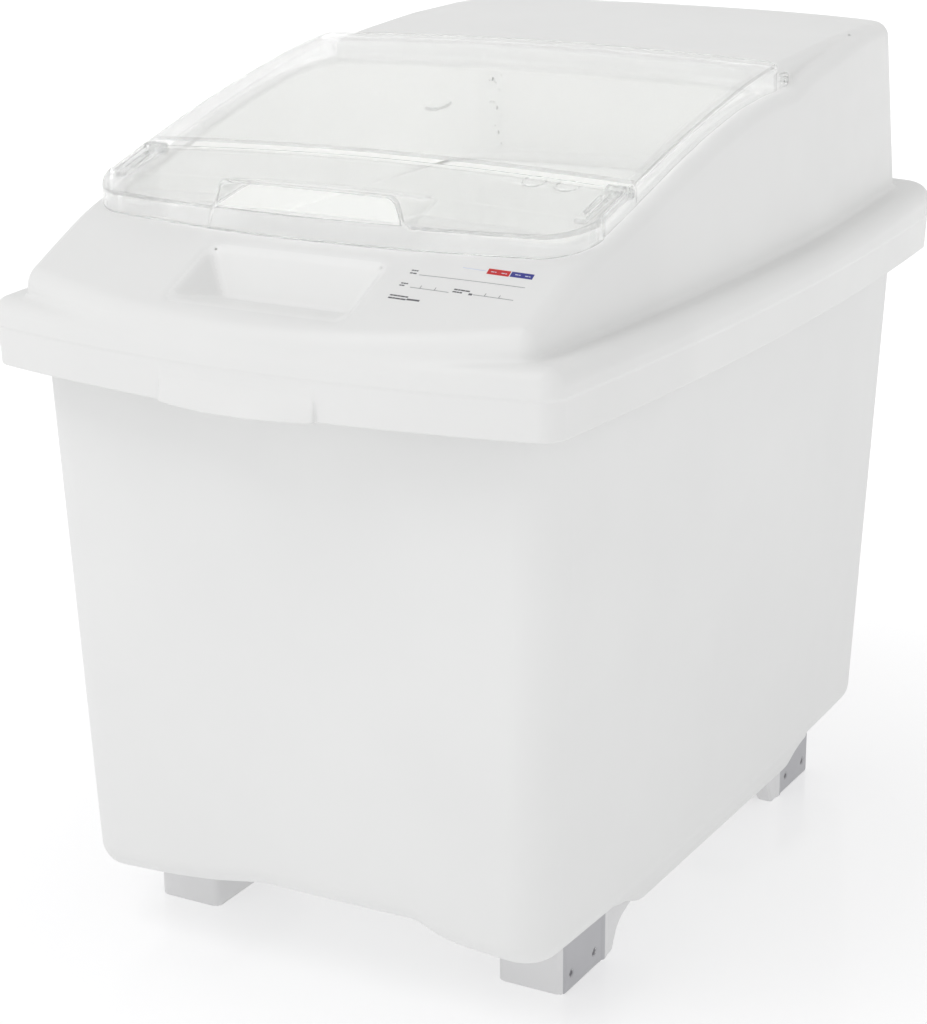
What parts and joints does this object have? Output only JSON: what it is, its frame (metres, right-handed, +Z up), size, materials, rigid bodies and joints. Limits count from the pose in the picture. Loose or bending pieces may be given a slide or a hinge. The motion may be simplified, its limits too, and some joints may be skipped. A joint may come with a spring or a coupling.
{
  "type": "ingredient bin",
  "caption": "Free-standing rice bin: translucent white tub, lift-off sloped hood with hand recess, clear hinged cover with a flip-up front flap and grip, grey corner feet.",
  "frame": {"origin": "centre of the bounding box at floor level", "axes": "+Z up, -Y towards the front with the grip and the hand recess, +X to the right seen from the front"},
  "size_m": [0.4, 0.6391, 0.5342],
  "materials": {
    "white_tub": "translucent white moulded plastic, satin",
    "white_hood": "opaque white moulded plastic, satin",
    "clear_cover": "clear polished moulded plastic",
    "hinge_pin": "clear moulded pin",
    "grey_foot": "light grey moulded plastic",
    "foot_pin": "dark pin heads",
    "print_black": "black print",
    "print_red": "red print",
    "print_blue": "blue print"
  },
  "bodies": {
    "bin": {"tub": "white_tub", "front_left_foot": "grey_foot", "front_right_foot": "grey_foot", "rear_left_foot": "grey_foot", "rear_right_foot": "grey_foot", "front_left_foot_pins": "foot_pin", "front_right_foot_pins": "foot_pin", "rear_left_foot_pins": "foot_pin", "rear_right_foot_pins": "foot_pin"},
    "hood_body": {"hood": "white_hood", "left_rear_hinge_pin": "hinge_pin", "right_rear_hinge_pin": "hinge_pin", "slope_label_lines": "print_black", "slope_label_red": "print_red", "slope_label_blue": "print_blue"},
    "cover": {"rear_window": "clear_cover"},
    "flap": {"front_flap": "clear_cover", "left_flap_hinge_pin": "hinge_pin", "right_flap_hinge_pin": "hinge_pin"}
  },
  "joints": [
    {"name": "hood_lift", "type": "slide", "parent": "bin", "child": "hood_body", "axis": [0, 0, 1], "range_m": [0, 0.15]},
    {"name": "cover_hinge", "type": "hinge", "parent": "hood_body", "child": "cover", "pos_m": [0, 0.066, 0.5165], "axis": [-1, 0, 0], "range_deg": [0, 60]},
    {"name": "flap_hinge", "type": "hinge", "parent": "cover", "child": "flap", "pos_m": [0, -0.1535, 0.4818], "axis": [-1, 0, 0], "range_deg": [0, 110]}
  ]
}
